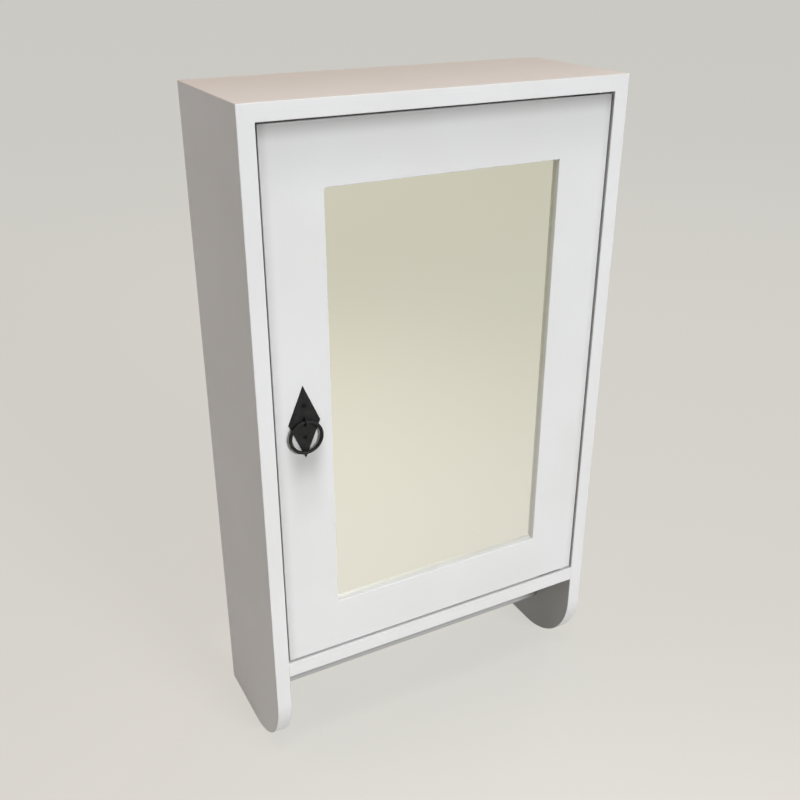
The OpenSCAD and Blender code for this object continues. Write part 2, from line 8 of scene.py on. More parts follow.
import bmesh
import bpy
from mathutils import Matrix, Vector


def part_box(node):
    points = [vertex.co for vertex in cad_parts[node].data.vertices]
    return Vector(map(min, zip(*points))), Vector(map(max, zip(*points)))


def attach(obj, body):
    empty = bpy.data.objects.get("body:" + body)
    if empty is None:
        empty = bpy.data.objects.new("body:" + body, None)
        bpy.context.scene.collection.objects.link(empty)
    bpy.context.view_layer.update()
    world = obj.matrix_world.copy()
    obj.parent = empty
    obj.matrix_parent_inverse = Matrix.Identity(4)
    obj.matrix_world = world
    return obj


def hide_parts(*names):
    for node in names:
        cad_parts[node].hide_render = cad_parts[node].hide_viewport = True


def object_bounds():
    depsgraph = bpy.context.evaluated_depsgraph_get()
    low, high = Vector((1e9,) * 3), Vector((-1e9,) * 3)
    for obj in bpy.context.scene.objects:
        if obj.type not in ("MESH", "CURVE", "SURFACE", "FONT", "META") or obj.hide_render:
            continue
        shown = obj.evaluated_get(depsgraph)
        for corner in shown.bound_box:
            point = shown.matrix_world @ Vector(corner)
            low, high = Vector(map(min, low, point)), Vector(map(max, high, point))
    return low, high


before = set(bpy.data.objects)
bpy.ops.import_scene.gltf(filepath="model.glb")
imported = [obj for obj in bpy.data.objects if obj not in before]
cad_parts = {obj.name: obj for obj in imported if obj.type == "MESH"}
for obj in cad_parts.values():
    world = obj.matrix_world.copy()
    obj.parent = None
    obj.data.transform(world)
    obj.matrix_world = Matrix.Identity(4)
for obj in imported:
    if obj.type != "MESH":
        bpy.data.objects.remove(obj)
model_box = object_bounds()

# Camera
# It looks down at the cabinet from the front left, through a lens of 45 degrees, which
# is the angle that the cabinet's own edges give.
camera_place = (-0.5129, -1.0309, 0.1828)
camera_tilt = math.radians(64.32)
camera_turn = math.radians(-28.06)
view_angle = math.radians(45)
film_width = 36

bpy.ops.object.camera_add(location=camera_place, rotation=(camera_tilt, 0, camera_turn))
camera = bpy.context.object
camera.name = "camera"
camera.data.sensor_width = film_width
camera.data.lens = film_width / 2 / math.tan(view_angle / 2)
bpy.context.scene.camera = camera

# Sides
# Two softwood boards of 18 mm, which run down past the box as wings with a quarter
# round at the front. Each has a rebate for the back, a blind socket for the towel rail
# and rows of holes for the shelf pins, and all edges that hands touch are eased.
wing_round = 0.090
wing_steps = 24
arris = 0.0010
arris_steps = 3
bottom_low, bottom_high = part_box("bottom_panel")
box_underside = bottom_low.z
box_floor = bottom_high.z
inner_x = bottom_high.x
rail_low, rail_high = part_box("towel_rail")
rail_r = (rail_high.z - rail_low.z) / 2
rail_mid = (rail_low + rail_high) / 2
rail_start = Vector((rail_low.x, rail_mid.y, rail_mid.z))
rail_end = Vector((rail_high.x, rail_mid.y, rail_mid.z))
rail_steps = 96
back_low, back_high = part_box("back_panel")
pins_low, pins_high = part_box("shelf_pins")
pin_r = 0.0025
pin_hole_r = 0.0026
pin_hole_depth = 0.0095
pin_step = 0.032
hole_steps = 32
over = 0.002
tiny = 0.00002
merge_at = 0.00001


def near(a, b):
    """Whether two places are the same, but for rounding."""
    return abs(a - b) < tiny


def select_only(piece):
    """Leaves one piece selected and active, in object mode."""
    bpy.ops.object.select_all(action="DESELECT")
    piece.select_set(True)
    bpy.context.view_layer.objects.active = piece


def settle(name):
    """Names the active piece and puts its place, its turn and its size into its mesh."""
    piece = bpy.context.object
    piece.name = name
    bpy.ops.object.transform_apply(location=True, rotation=True, scale=True)
    return piece


def add_block(name, low, high):
    """A block between two corners."""
    bpy.ops.object.select_all(action="DESELECT")
    bpy.ops.mesh.primitive_cube_add(size=1, location=(low + high) / 2)
    bpy.context.object.scale = high - low
    return settle(name)


def add_peg(name, radius, start, end, steps=hole_steps):
    """A straight round peg from one point to another."""
    run = end - start
    bpy.ops.object.select_all(action="DESELECT")
    bpy.ops.mesh.primitive_cylinder_add(
        vertices=steps,
        radius=radius,
        depth=run.length,
        location=start + run / 2,
        rotation=run.to_track_quat("Z", "Y").to_euler(),
    )
    return settle(name)


def join(name, parts):
    """Makes one piece of several."""
    select_only(parts[0])
    for part in parts:
        part.select_set(True)
    bpy.ops.object.join()
    parts[0].name = name
    return parts[0]


def combine(piece, other, operation):
    """Adds the other shape to the piece or takes it out of it, and uses the other up."""
    select_only(piece)
    boolean = piece.modifiers.new("combine", "BOOLEAN")
    boolean.object = other
    boolean.operation = operation
    boolean.solver = "EXACT"
    bpy.ops.object.modifier_apply(modifier="combine")
    bpy.data.objects.remove(other)


def cut_away(piece, cutter):
    """Takes the cutter's shape out of the piece."""
    combine(piece, cutter, "DIFFERENCE")


def open_whole(piece):
    """Opens the piece in edit mode with all of it selected."""
    select_only(piece)
    bpy.ops.object.mode_set(mode="EDIT")
    bpy.ops.mesh.select_all(action="SELECT")


def pick_edges(piece, wanted):
    """Opens the piece in edit mode with the edges selected that wanted(middle, run) picks."""
    select_only(piece)
    bpy.ops.object.mode_set(mode="EDIT")
    bpy.ops.mesh.select_mode(type="EDGE")
    bpy.ops.mesh.select_all(action="DESELECT")
    mesh = bmesh.from_edit_mesh(piece.data)
    for edge in mesh.edges:
        start, end = (corner.co for corner in edge.verts)
        edge.select_set(wanted((start + end) / 2, end - start))
    bmesh.update_edit_mesh(piece.data)


def ease(piece, wanted, width=arris, steps=arris_steps):
    """Rounds over the edges that wanted(middle, run) picks."""
    pick_edges(piece, wanted)
    bpy.ops.mesh.bevel(offset=width, segments=steps, profile=0.5, affect="EDGES")
    bpy.ops.object.mode_set(mode="OBJECT")


def build_up(name, sections):
    """Makes one solid of sections that meet face to face, their corners on whole micrometres."""
    for section in sections:
        for corner in section.data.vertices:
            corner.co = [round(c, 6) for c in corner.co]
    whole = sections[0]
    whole.name = name
    for section in sections[1:]:
        combine(whole, section, "UNION")
        open_whole(whole)
        bpy.ops.mesh.remove_doubles(threshold=merge_at)
        bpy.ops.mesh.dissolve_degenerate(threshold=merge_at)
        bpy.ops.object.mode_set(mode="OBJECT")
    return whole


def rebate_for_back(board):
    """Takes the place of the back panel out of a board."""
    cut_away(board, add_block("rebate", back_low, Vector((back_high.x, over, back_high.z))))


def side_board(name, inward):
    """One side, in its node's place; inward is the way from the board to the middle of the box."""
    low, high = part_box(name)
    outer = low.x if inward > 0 else high.x
    inner = high.x if inward > 0 else low.x

    def on_wing_edge(at, run):
        front_or_round = near(at.y, low.y) or at.z < low.z + wing_round - tiny and at.y < -tiny
        return abs(run.x) < tiny and front_or_round and at.z < box_underside - tiny

    wing = add_block("wing", low, Vector((high.x, high.y, box_underside)))
    ease(wing, lambda at, run: near(at.y, low.y) and near(at.z, low.z), wing_round, wing_steps)
    ease(wing, on_wing_edge)
    middle_low = Vector((low.x, low.y, box_underside))
    middle_high = Vector((high.x, high.y, box_floor))
    beside_bottom = add_block("middle", middle_low, middle_high)
    ease(beside_bottom, lambda at, run: near(at.y, low.y) and near(at.x, outer))
    upper = add_block("upper", Vector((low.x, low.y, box_floor)), high)
    ease(upper, lambda at, run: near(at.y, low.y) and abs(run.z) > tiny)
    board = build_up(name + "_board", [wing, beside_bottom, upper])

    rebate_for_back(board)
    cut_away(board, add_peg("socket", rail_r, rail_start, rail_end, rail_steps))
    holes = []
    for shelf in ("lower_shelf", "upper_shelf"):
        for step in (-1, 0, 1):
            for y in (pins_low.y + pin_r, pins_high.y - pin_r):
                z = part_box(shelf)[0].z - pin_r + step * pin_step
                bottom = Vector((inner - inward * pin_hole_depth, y, z))
                mouth = Vector((inner + inward * over, y, z))
                holes.append(add_peg("hole", pin_hole_r, bottom, mouth))
    cut_away(board, join("holes", holes))
    return board


class Wire:
    """An output of a shader node, on which sums are written like on a number."""

    def __init__(self, finish, socket):
        self.finish = finish
        self.socket = socket

    def sum(self, operation, *terms):
        return self.finish.node("ShaderNodeMath", {"operation": operation}, dict(enumerate(terms)))

    def __add__(self, other):
        return self.sum("ADD", self, other)

    def __radd__(self, other):
        return self.sum("ADD", other, self)

    def __sub__(self, other):
        return self.sum("SUBTRACT", self, other)

    def __rsub__(self, other):
        return self.sum("SUBTRACT", other, self)

    def __mul__(self, other):
        return self.sum("MULTIPLY", self, other)

    def __rmul__(self, other):
        return self.sum("MULTIPLY", other, self)

    def __abs__(self):
        return self.sum("ABSOLUTE", self)


class Finish:
    """A material in the making. Its node method adds any node to it."""

    last_node = "ShaderNodeOutputMaterial"

    def __init__(self, name):
        self.material = bpy.data.materials.new(name)
        self.material.use_nodes = True
        self.tree = self.material.node_tree
        self.tree.nodes.clear()

    def node(self, kind, settings=None, sockets=None, output=0):
        """Adds a node with its settings, then fills or links its sockets, and gives one output."""
        made = self.tree.nodes.new(kind)
        for name, value in (settings or {}).items():
            setattr(made, name, value)
        for name, value in (sockets or {}).items():
            if isinstance(value, Wire):
                self.tree.links.new(value.socket, made.inputs[name])
            else:
                made.inputs[name].default_value = value
        return Wire(self, made.outputs[output]) if made.outputs else None

    def place(self, stretch=(1, 1, 1)):
        """The point on the piece, with its axes stretched."""
        point = self.node("ShaderNodeTexCoord", output="Object")
        return self.node("ShaderNodeMapping", sockets={"Vector": point, "Scale": stretch})

    def along(self, axis):
        """How far along an axis the point on the piece lies."""
        return self.node("ShaderNodeSeparateXYZ", sockets={0: self.place()}, output=axis)

    def noise(self, scale, stretch=(1, 1, 1), detail=2.0):
        """Cloudy noise round 0.5; scale is in patches a metre."""
        sockets = {"Vector": self.place(stretch), "Scale": scale, "Detail": detail}
        return self.node("ShaderNodeTexNoise", sockets=sockets)

    def span(self, value, low, high, to_low=0.0, to_high=1.0):
        """The value, from low to high, eased over to_low to to_high and kept in it."""
        ends = {"From Min": low, "From Max": high, "To Min": to_low, "To Max": to_high}
        settings = {"interpolation_type": "SMOOTHSTEP"}
        return self.node("ShaderNodeMapRange", settings, {"Value": value, **ends})

    def vary(self, noise, low=0.0, high=1.0):
        """A value that goes from low to high with the middle range of a noise."""
        return self.span(noise, 0.3, 0.7, low, high)

    def blend(self, share, first, second):
        """A colour between two others."""
        return self.node("ShaderNodeMix", {"data_type": "RGBA"}, {0: share, 6: first, 7: second}, 2)

    def relief(self, height, depth):
        """The normal of a surface with that height, its highest places depth metres proud."""
        sockets = {"Height": height, "Distance": depth}
        return self.node("ShaderNodeBump", sockets=sockets, output="Normal")

    def surface(self, **sockets):
        """Ends the material in one shader, and gives the material."""
        named = {name.replace("_", " "): value for name, value in sockets.items()}
        self.show(self.node("ShaderNodeBsdfPrincipled", sockets=named))
        return self.material

    def show(self, shader):
        """Makes a shader what is seen."""
        self.node(self.last_node, sockets={"Surface": shader})


def tone(red, green, blue):
    """A colour as a screen shows it, from 0 to 255, made linear."""
    shown = [c / 255 for c in (red, green, blue)]
    return tuple(c / 12.92 if c < 0.04045 else ((c + 0.055) / 1.055) ** 2.4 for c in shown) + (1,)


brushed_upright = (1500, 1500, 28)
brushed_across = (28, 1500, 1500)
box_white = 233
# The grey of the painted shade that darkens the paint in gaps, recesses and under parts.
painted_shade_grey = tone(118, 117, 115)


def satin_paint(name, strokes, shade_mask=None, level=box_white):
    """White satin paint laid on with a brush; strokes stretches its marks along the board, and an
    optional mask lays painted shade over it.
    """
    paint = Finish(name)
    marks = paint.noise(1.0, strokes, 3.0)
    cloud = paint.noise(9.0, detail=1.0)
    peel = paint.noise(420.0, detail=1.0)
    paint_colour = paint.blend(
        paint.vary(cloud * 0.7 + marks * 0.3),
        tone(level - 4, level - 4, level - 5),
        tone(level, level, level),
    )
    # Painted shade: the mask darkens the paint towards that grey.
    if shade_mask:
        paint_colour = paint.blend(shade_mask(paint), paint_colour, painted_shade_grey)
    return paint.surface(
        Base_Color=paint_colour,
        Roughness=paint.span(marks, 0.25, 0.75, 0.36, 0.46),
        Specular_IOR_Level=0.45,
        Normal=paint.relief(marks * 0.7 + peel * 0.3, 0.00003),
    )


sharp_from = math.radians(40)


def dress(piece, *finishes):
    """Gives a piece its materials, and smooth shading that leaves its flat faces flat."""
    select_only(piece)
    piece.data.materials.clear()
    for finish in finishes:
        piece.data.materials.append(finish)
    bpy.ops.object.shade_smooth_by_angle(angle=sharp_from)
    even = piece.modifiers.new("even", "WEIGHTED_NORMAL")
    even.keep_sharp = True
    bpy.ops.object.modifier_apply(modifier="even")


def stand_for(piece, body, node):
    """The piece rides on a body and is shown in place of a node."""
    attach(piece, body)
    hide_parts(node)


skin_from = 0.0002
skin_to = 0.001
# Painted shade on the sides' inner faces, on the wings and inside the box.
wing_shade = 0.38
inside_shade = 0.14


def on_face(paint, value, face, behind):
    """1 on a board's face, down to 0 behind it, where the value rises or, for -1, falls."""
    return paint.span(value, face + behind * skin_from, face + behind * skin_to, 1, 0)


def inside_shade_mask(paint):
    """Painted shade on the inner faces of the sides: darkest on the wings under the box, lighter
    inside the box.
    """
    up_the_side = paint.span(paint.along("Z"), box_underside, box_floor, wing_shade, inside_shade)
    return on_face(paint, abs(paint.along("X")), inner_x, 1) * up_the_side


# The sides' paint carries painted shade on their inner faces.
side_paint = satin_paint("side_paint", brushed_upright, inside_shade_mask)

for side_name, side_inward in (("left_side", 1), ("right_side", -1)):
    side = side_board(side_name, side_inward)
    dress(side, side_paint)
    stand_for(side, "cabinet", side_name)

# Top and bottom boards
# The top lies over the sides and the bottom board is let in between them, both glued on
# dowels. The front of the whole box is then planed flush, so that no joint shows.
top_low, top_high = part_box("top_panel")
level_paint = satin_paint("paint_brushed_across", brushed_across)


def top_section(left, right):
    """A stretch of the top board; the edge over the door is eased only between the sides."""
    low = Vector((left, top_low.y, top_low.z))
    high = Vector((right, top_high.y, top_high.z))
    between_sides = near(right, inner_x)

    def on_arris(at, run):
        front = near(at.y, low.y)
        upper = near(at.z, high.z)
        end = near(abs(at.x), top_high.x)
        over_door = between_sides and near(at.z, low.z)
        return front and (upper or over_door or end) or upper and end

    section = add_block("section", low, high)
    ease(section, on_arris)
    return section


top_stretches = ((top_low.x, -inner_x), (-inner_x, inner_x), (inner_x, top_high.x))
top = build_up("top_board", [top_section(left, right) for left, right in top_stretches])
rebate_for_back(top)
dress(top, level_paint)
stand_for(top, "cabinet", "top_panel")


# How dark the painted shade in the door's gaps is.
gap_shade = 0.34


def sill_shade_mask(paint):
    """Painted shade on the front of the bottom board's upper face, in the door's gap."""
    fade_from = bottom_low.y + 0.008
    fade_to = bottom_low.y + 0.026
    towards_front = paint.span(paint.along("Y"), fade_from, fade_to, gap_shade, 0)
    return on_face(paint, paint.along("Z"), bottom_high.z, -1) * towards_front


bottom = add_block("bottom_board", bottom_low, bottom_high)
ease(bottom, lambda at, run: near(at.y, bottom_low.y) and abs(run.x) > tiny)
rebate_for_back(bottom)
# The bottom board's paint carries painted shade in the door's gap.
dress(bottom, satin_paint("sill_paint", brushed_across, sill_shade_mask))
stand_for(bottom, "cabinet", "bottom_panel")

# Towel rail
# A turned round rod with a fine chamfer at each end, glued into the sockets of the two
# wings. Its paint is greyer than the box's and darker on top, as painted shade from the box.
rail_chamfer = 0.0015
# The whole rail's paint is darker, as painted shade from the box above.
rail_shade_level = 192
rail_top_shade = 0.41
rail = add_peg("towel_rod", rail_r, rail_start, rail_end, rail_steps)
ease(rail, lambda at, run: near(abs(at.x), rail_high.x), rail_chamfer, 2)


def rail_shadow_mask(paint):
    """A painted shadow on the upper half of the rail, under the box."""
    # Painted shadow: darker towards the rail's top.
    unshaded_to = rail_mid.z - 0.0015
    fully_shaded_from = rail_mid.z + 0.0005
    return paint.span(paint.along("Z"), unshaded_to, fully_shaded_from, 0, rail_top_shade)


dress(rail, satin_paint("rail_paint", brushed_across, rail_shadow_mask, rail_shade_level))
stand_for(rail, "cabinet", "towel_rail")

# Shelves
# Two painted boards of 15 mm with the front edge eased. They lie loose on their pins, so
# that they can be set higher or lower.
for shelf_name in ("lower_shelf", "upper_shelf"):
    shelf_low, shelf_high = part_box(shelf_name)
    shelf = add_block(shelf_name + "_board", shelf_low, shelf_high)
    ease(shelf, lambda at, run: near(at.y, shelf_low.y) and abs(run.x) > tiny)
    dress(shelf, level_paint)
    stand_for(shelf, "cabinet", shelf_name)

# Door frame
# Two stiles with two rails tenoned between them, 20 mm thick. A rebate behind leaves a
# lip of 6 mm in front of the mirror, and the face is sanded flush and eased all round.
left_low, left_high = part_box("handle_stile")
right_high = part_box("hinge_stile")[1]
glass_low, glass_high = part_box("mirror_glass")
plate_low, plate_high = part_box("pull_plate")
plate_mid = (plate_low + plate_high) / 2
glass_gap = 0.001
bead_set_in = 0.009
door_white = 230
# How dark the painted shade on the ledge under the mirror is.
ledge_shade = 0.46
door_face = left_low.y
door_back = left_high.y
sight_x = left_high.x
sight_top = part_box("top_bead")[1].z - bead_set_in
sight_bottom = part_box("bottom_bead")[0].z + bead_set_in
pocket_low = glass_low - Vector((glass_gap, 0, glass_gap))
pocket_high = Vector((glass_high.x + glass_gap, door_back + over, glass_high.z + glass_gap))


def on_front(paint):
    """1 on the door's front, down to 0 before its back."""
    return paint.span(paint.along("Y"), door_face + 0.004, door_face + 0.012, 1, 0)


def edge_shade_mask(paint):
    """Painted shade on the door: along and in its gaps, and most of all under the top board."""
    # Painted shade: darker towards the top board, the frame's sides and inside the gaps.
    height = paint.along("Z")
    across = paint.along("X")
    depth = paint.along("Y")
    near_top = paint.span(height, left_high.z - 0.020, left_high.z + 0.002, 0, 0.46)
    below_top = paint.span(height, left_high.z - 0.085, left_high.z, 0, 0.20)
    at_left = paint.span(across, left_low.x - 0.001, left_low.x + 0.012, 0.22, 0)
    at_right = paint.span(across, right_high.x - 0.010, right_high.x + 0.001, 0, 0.15)
    beside = paint.span(abs(across), right_high.x - 0.003, right_high.x - 0.001, 0, 1)
    below = paint.span(height, left_low.z + 0.001, left_low.z + 0.003, 1, 0)
    in_gap = paint.span(depth, door_face + 0.0006, door_face + 0.002, 0, gap_shade)
    along_edges = near_top + below_top + at_left + at_right
    return on_front(paint) * (along_edges + in_gap * (beside + below))


def ledge_shade_mask(paint):
    """The same, and painted shade on the ledge under the mirror."""
    behind_arris = paint.span(paint.along("Y"), door_face, door_face + arris, 0, ledge_shade)
    return edge_shade_mask(paint) + on_face(paint, paint.along("Z"), sight_bottom, -1) * behind_arris


def stile_shade_mask(paint):
    """The same, and a soft painted shadow round and under the ring."""
    height = paint.along("Z")
    reach = paint.span(abs(paint.along("X") - plate_mid.x), 0.005, 0.029, 1, 0)
    close_under = paint.span(height, plate_mid.z - 0.083, plate_mid.z - 0.043, 0, 0.24)
    far_under = paint.span(height, plate_mid.z - 0.142, plate_mid.z - 0.052, 0, 0.20)
    below_middle = paint.span(height, plate_mid.z - 0.034, plate_mid.z + 0.004, 1, 0)
    return edge_shade_mask(paint) + on_front(paint) * reach * (close_under + far_under) * below_middle


# Each door member's paint carries painted shade along its gaps; the handle stile also a painted
# shadow under the ring.
door_paints = {
    "handle_stile": ("door_paint_round_the_pull", brushed_upright, stile_shade_mask),
    "hinge_stile": ("door_paint_brushed_upright", brushed_upright, edge_shade_mask),
    "top_rail": ("door_paint_brushed_across", brushed_across, edge_shade_mask),
    "bottom_rail": ("door_paint_under_the_mirror", brushed_across, ledge_shade_mask),
}


def frame_member(name, sections):
    """One member of the door's frame, built of its sections and rebated for the mirror."""
    member = build_up(name + "_board", sections)
    cut_away(member, add_block("rebate", pocket_low, pocket_high))
    dress(member, satin_paint(*door_paints[name], door_white))
    stand_for(member, "door", name)


def stile_section(low, high, beside_mirror):
    """A stretch of a stile, eased at the door's edges and, beside the mirror, at the opening."""

    def on_arris(at, run):
        end = near(at.z, left_low.z) or near(at.z, left_high.z)
        outer = near(abs(at.x), right_high.x) or end
        sight = beside_mirror and near(abs(at.x), abs(sight_x))
        return near(at.y, door_face) and (outer or sight)

    section = add_block("section", low, high)
    ease(section, on_arris)
    return section


stile_heights = (left_low.z, sight_bottom, sight_top, left_high.z)
for name in ("handle_stile", "hinge_stile"):
    low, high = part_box(name)
    stretches = []
    for section_low, section_high in zip(stile_heights, stile_heights[1:]):
        stretch_low = Vector((low.x, low.y, section_low))
        stretch_high = Vector((high.x, high.y, section_high))
        stretches.append(stile_section(stretch_low, stretch_high, section_low == sight_bottom))
    frame_member(name, stretches)

rail_heights = {"top_rail": (sight_top, left_high.z), "bottom_rail": (left_low.z, sight_bottom)}
for name, (low_z, high_z) in rail_heights.items():
    low = Vector((sight_x, door_face, low_z))
    high = Vector((-sight_x, door_back, high_z))
    rail_board = add_block("section", low, high)
    ease(rail_board, lambda at, run: near(at.y, door_face) and abs(run.x) > tiny)
    frame_member(name, [rail_board])

# Mirror
# A sheet of silvered float glass of 4 mm with ground edges. The silver has a faint yellow
# cast, and painted shade makes it darker and yellower towards the top.
glass_arris = 0.0005
square_on = 0.99
mirror = add_block("mirror_sheet", glass_low, glass_high)
ease(mirror, lambda at, run: True, glass_arris, 1)
silver = Finish("mirror_silver")
smear = silver.noise(14.0, detail=3.0)
# Painted shade in the reflection: the silver darkens and yellows towards the top.
tint_and_shade = silver.span(silver.along("Z") + smear * 0.02, glass_low.z, glass_high.z)
silver_face = silver.surface(
    Base_Color=silver.blend(tint_and_shade, tone(252, 252, 244), tone(239, 239, 223)),
    Metallic=1.0,
    Roughness=silver.span(smear, 0.35, 0.75, 0.012, 0.03),
)
ground = Finish("mirror_ground_edge")
ground_edge = ground.surface(
    Base_Color=ground.blend(ground.noise(900.0), tone(120, 160, 140), tone(170, 200, 184)),
    Roughness=0.45,
)
dress(mirror, silver_face, ground_edge)
for face in mirror.data.polygons:
    face.material_index = 0 if face.normal.y < -square_on else 1
stand_for(mirror, "door", "mirror_glass")

# Ring pull
# Black forged iron: a diamond plate with chamfered edges and hammer marks, held by two
# round-headed screws, a staple of wire through the stile and a ring that hangs in it.
ring_low, ring_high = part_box("pull_ring")
staple_low, staple_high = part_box("pull_staple")
screws_low, screws_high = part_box("pull_screws")
pull_z = (staple_low.z + staple_high.z) / 2
plate_half = (plate_high - plate_low) / 2
plate_cuts = 40
plate_chamfer = 0.0006
dented_to = 0.96
hammer_patch = 0.0045
hammer_depth = 0.00022


def push(x, y, z):
    """Extrudes what is selected by that much along each axis."""
    bpy.ops.mesh.extrude_region_move(TRANSFORM_OT_translate={"value": (x, y, z)})


bpy.ops.object.select_all(action="DESELECT")
bpy.ops.mesh.primitive_circle_add(
    vertices=4,
    radius=1,
    fill_type="NGON",
    location=(plate_mid.x, plate_high.y, plate_mid.z),
    rotation=(math.pi / 2, 0, 0),
)
bpy.context.object.scale = (plate_half.x, plate_half.z, 1)
plate = settle("diamond_plate")
open_whole(plate)
bpy.ops.mesh.subdivide(number_cuts=plate_cuts)
push(0, -2 * plate_half.y, 0)
bpy.ops.mesh.select_all(action="SELECT")
bpy.ops.mesh.normals_make_consistent(inside=False)
bpy.ops.object.mode_set(mode="OBJECT")


def plate_reach(at):
    """How far a point is from the plate's middle towards its outline, from 0 to 1."""
    across = abs(at.x - plate_mid.x) / plate_half.x
    along = abs(at.z - plate_mid.z) / plate_half.z
    return across + along


def on_plate_rim(at, run):
    """Whether an edge runs round the plate's front."""
    return near(at.y, plate_low.y) and plate_reach(at) > 1 - tiny


hammered = bpy.data.textures.new("hammer_marks", "CLOUDS")
hammered.noise_scale = hammer_patch
hammered.noise_depth = 1


def hammer(piece, group=""):
    """Dents the whole piece, or a group of its corners."""
    select_only(piece)
    dents = piece.modifiers.new("dents", "DISPLACE")
    dents.texture = hammered
    dents.texture_coords = "LOCAL"
    dents.strength = hammer_depth
    dents.mid_level = 1.0
    dents.vertex_group = group
    bpy.ops.object.modifier_apply(modifier="dents")


ease(plate, on_plate_rim, plate_chamfer, 2)
front = plate.vertex_groups.new(name="front")
for corner in plate.data.vertices:
    if corner.co.y < plate_mid.y and plate_reach(corner.co) < dented_to:
        front.add([corner.index], 1.0, "REPLACE")
hammer(plate, "front")


def blackened(name, dark, light, gleam):
    """Iron with fire scale, mottled between two greys."""
    iron = Finish(name)
    scale_marks = iron.noise(700.0, detail=3.0)
    wide_marks = iron.noise(130.0, detail=2.0)
    mottle = iron.span(wide_marks, 0.35, 0.7)
    return iron.surface(
        Base_Color=iron.blend(mottle, tone(dark, dark, dark), tone(light, light, light)),
        Roughness=iron.vary(scale_marks, 0.5, 0.68),
        Specular_IOR_Level=gleam,
        Normal=iron.relief(scale_marks * 0.5 + wide_marks * 0.5, 0.00012),
    )


black_iron = blackened("black_iron", 16, 30, 0.25)
dress(plate, black_iron)
stand_for(plate, "door", "pull_plate")

head_r = 0.0025
head_t = 0.0008
shank_r = 0.0014
slot_w = 0.0009
slot_half = Vector((head_r * 1.2, head_t * 0.8, slot_w / 2))
screw_z = (screws_high.z - screws_low.z) / 2 - head_r
dome_r = (head_r ** 2 + head_t ** 2) / (2 * head_t)
shank_l = screws_high.y - plate_low.y


def pick_faces(piece, wanted):
    """Opens the piece in edit mode with the faces selected that wanted(middle, normal) picks."""
    select_only(piece)
    bpy.ops.object.mode_set(mode="EDIT")
    bpy.ops.mesh.select_mode(type="FACE")
    bpy.ops.mesh.select_all(action="DESELECT")
    mesh = bmesh.from_edit_mesh(piece.data)
    for face in mesh.faces:
        face.select_set(wanted(face.calc_center_median(), face.normal))
    bmesh.update_edit_mesh(piece.data)


screws = []
for screw_side, slot_turn in ((1, math.radians(24)), (-1, math.radians(-52))):
    at_z = pull_z + screw_side * screw_z
    bpy.ops.object.select_all(action="DESELECT")
    bpy.ops.mesh.primitive_uv_sphere_add(
        segments=48,
        ring_count=64,
        radius=dome_r,
        location=(plate_mid.x, screws_low.y + dome_r, at_z),
        rotation=(math.pi / 2, 0, 0),
    )
    screw = settle("round_head_screw")
    open_whole(screw)
    bpy.ops.mesh.bisect(
        plane_co=(0, plate_low.y, 0),
        plane_no=(0, 1, 0),
        use_fill=True,
        clear_outer=True,
        threshold=merge_at,
    )
    bpy.ops.object.mode_set(mode="OBJECT")
    pick_faces(screw, lambda at, normal: normal.y > square_on)
    bpy.ops.mesh.inset(thickness=head_r - shank_r)
    push(0, shank_l, 0)
    bpy.ops.object.mode_set(mode="OBJECT")
    slot_cut = add_block("slot", -slot_half, slot_half)
    slot_cut.rotation_euler = (0, slot_turn, 0)
    slot_cut.location = (plate_mid.x, screws_low.y, at_z)
    cut_away(screw, settle("slot"))
    screws.append(screw)
pull_screws = join("round_head_screws", screws)
dress(pull_screws, blackened("black_screws", 8, 13, 0.12))
stand_for(pull_screws, "door", "pull_screws")

staple_wire_r = (staple_high.x - staple_low.x) / 2
ring_wire_r = (ring_high.y - ring_low.y) / 2
ring_y = (ring_low.y + ring_high.y) / 2
ring_line_r = (ring_high.x - ring_low.x) / 2 - ring_wire_r
bow_r = ring_y - staple_low.y - staple_wire_r
bend_r = 0.0016
clench_y = staple_high.y - staple_wire_r
clench_end = (staple_high.z - staple_low.z) / 2 - bow_r
wire_steps = 20
bow_steps = 24
bend_steps = 8

bpy.ops.object.select_all(action="DESELECT")
bpy.ops.mesh.primitive_circle_add(
    vertices=wire_steps,
    radius=staple_wire_r,
    location=(plate_mid.x, ring_y, pull_z + bow_r),
    rotation=(math.pi / 2, 0, 0),
)
staple = settle("wire_staple")
open_whole(staple)
bpy.ops.mesh.spin(
    steps=bow_steps,
    angle=-math.pi,
    center=(plate_mid.x, ring_y, pull_z),
    axis=(1, 0, 0),
)
bpy.ops.object.mode_set(mode="OBJECT")
for leg in (1, -1):
    leg_z = pull_z + leg * bow_r
    pick_edges(
        staple,
        lambda at, run: near(at.y, ring_y) and abs(run.y) < tiny and (at.z - pull_z) * leg > 0,
    )
    push(0, clench_y - bend_r - ring_y, 0)
    bpy.ops.mesh.spin(
        steps=bend_steps,
        angle=-leg * math.pi / 2,
        center=(plate_mid.x, clench_y - bend_r, leg_z + leg * bend_r),
        axis=(1, 0, 0),
    )
    push(0, 0, leg * (clench_end - bend_r))
    bpy.ops.mesh.edge_face_add()
    bpy.ops.object.mode_set(mode="OBJECT")
open_whole(staple)
bpy.ops.mesh.remove_doubles(threshold=merge_at)
bpy.ops.mesh.normals_make_consistent(inside=False)
bpy.ops.object.mode_set(mode="OBJECT")
dress(staple, black_iron)
stand_for(staple, "door", "pull_staple")

ring_steps = 128
ring_wire_steps = 24
bpy.ops.object.select_all(action="DESELECT")
bpy.ops.mesh.primitive_torus_add(
    major_segments=ring_steps,
    minor_segments=ring_wire_steps,
    major_radius=ring_line_r,
    minor_radius=ring_wire_r,
    location=((ring_low.x + ring_high.x) / 2, ring_y, (ring_low.z + ring_high.z) / 2),
    rotation=(math.pi / 2, 0, 0),
)
ring = settle("forged_ring")
hammer(ring)
dress(ring, black_iron)
stand_for(ring, "ring", "pull_ring")

